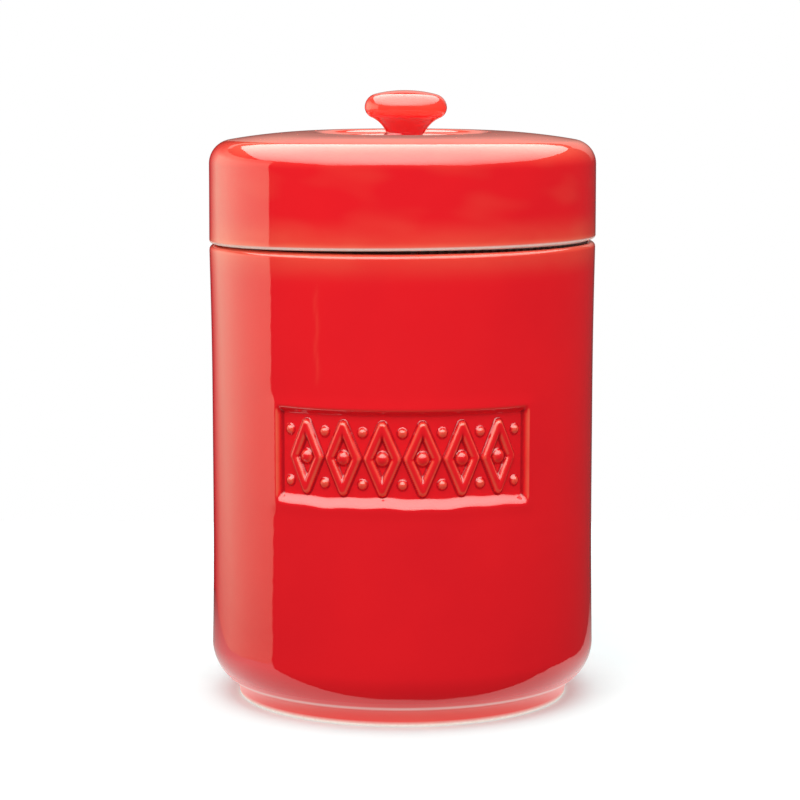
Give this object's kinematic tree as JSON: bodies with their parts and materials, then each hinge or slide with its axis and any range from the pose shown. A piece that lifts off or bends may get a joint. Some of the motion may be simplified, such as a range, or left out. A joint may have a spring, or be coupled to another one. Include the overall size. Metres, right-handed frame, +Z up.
{
  "type": "bacon grease container",
  "caption": "Red glazed stoneware grease jar with a domed lid and a drop-in perforated steel strainer that sits under the lid.",
  "frame": {"origin": "middle of the foot ring's underside, on the surface that the jar stands on", "axes": "+Z up along the jar's axis, the label panel faces -Y, +X to the right seen from the front"},
  "size_m": [0.1158, 0.1158, 0.182],
  "materials": {
    "red_glaze": "glossy transparent red glaze over white stoneware",
    "steel": "pressed stainless steel sheet"
  },
  "bodies": {
    "jar_body": {"jar": "red_glaze"},
    "strainer_body": {"strainer_rim": "steel", "strainer_screen": "steel"},
    "lid_body": {"lid": "red_glaze", "lid_knob": "red_glaze"}
  },
  "joints": [
    {"name": "strainer_lift", "type": "slide", "parent": "jar_body", "child": "strainer_body", "axis": [0, 0, 1], "range_m": [0, 0.1]},
    {"name": "lid_lift", "type": "slide", "parent": "strainer_body", "child": "lid_body", "axis": [0, 0, 1], "range_m": [0, 0.1]}
  ]
}
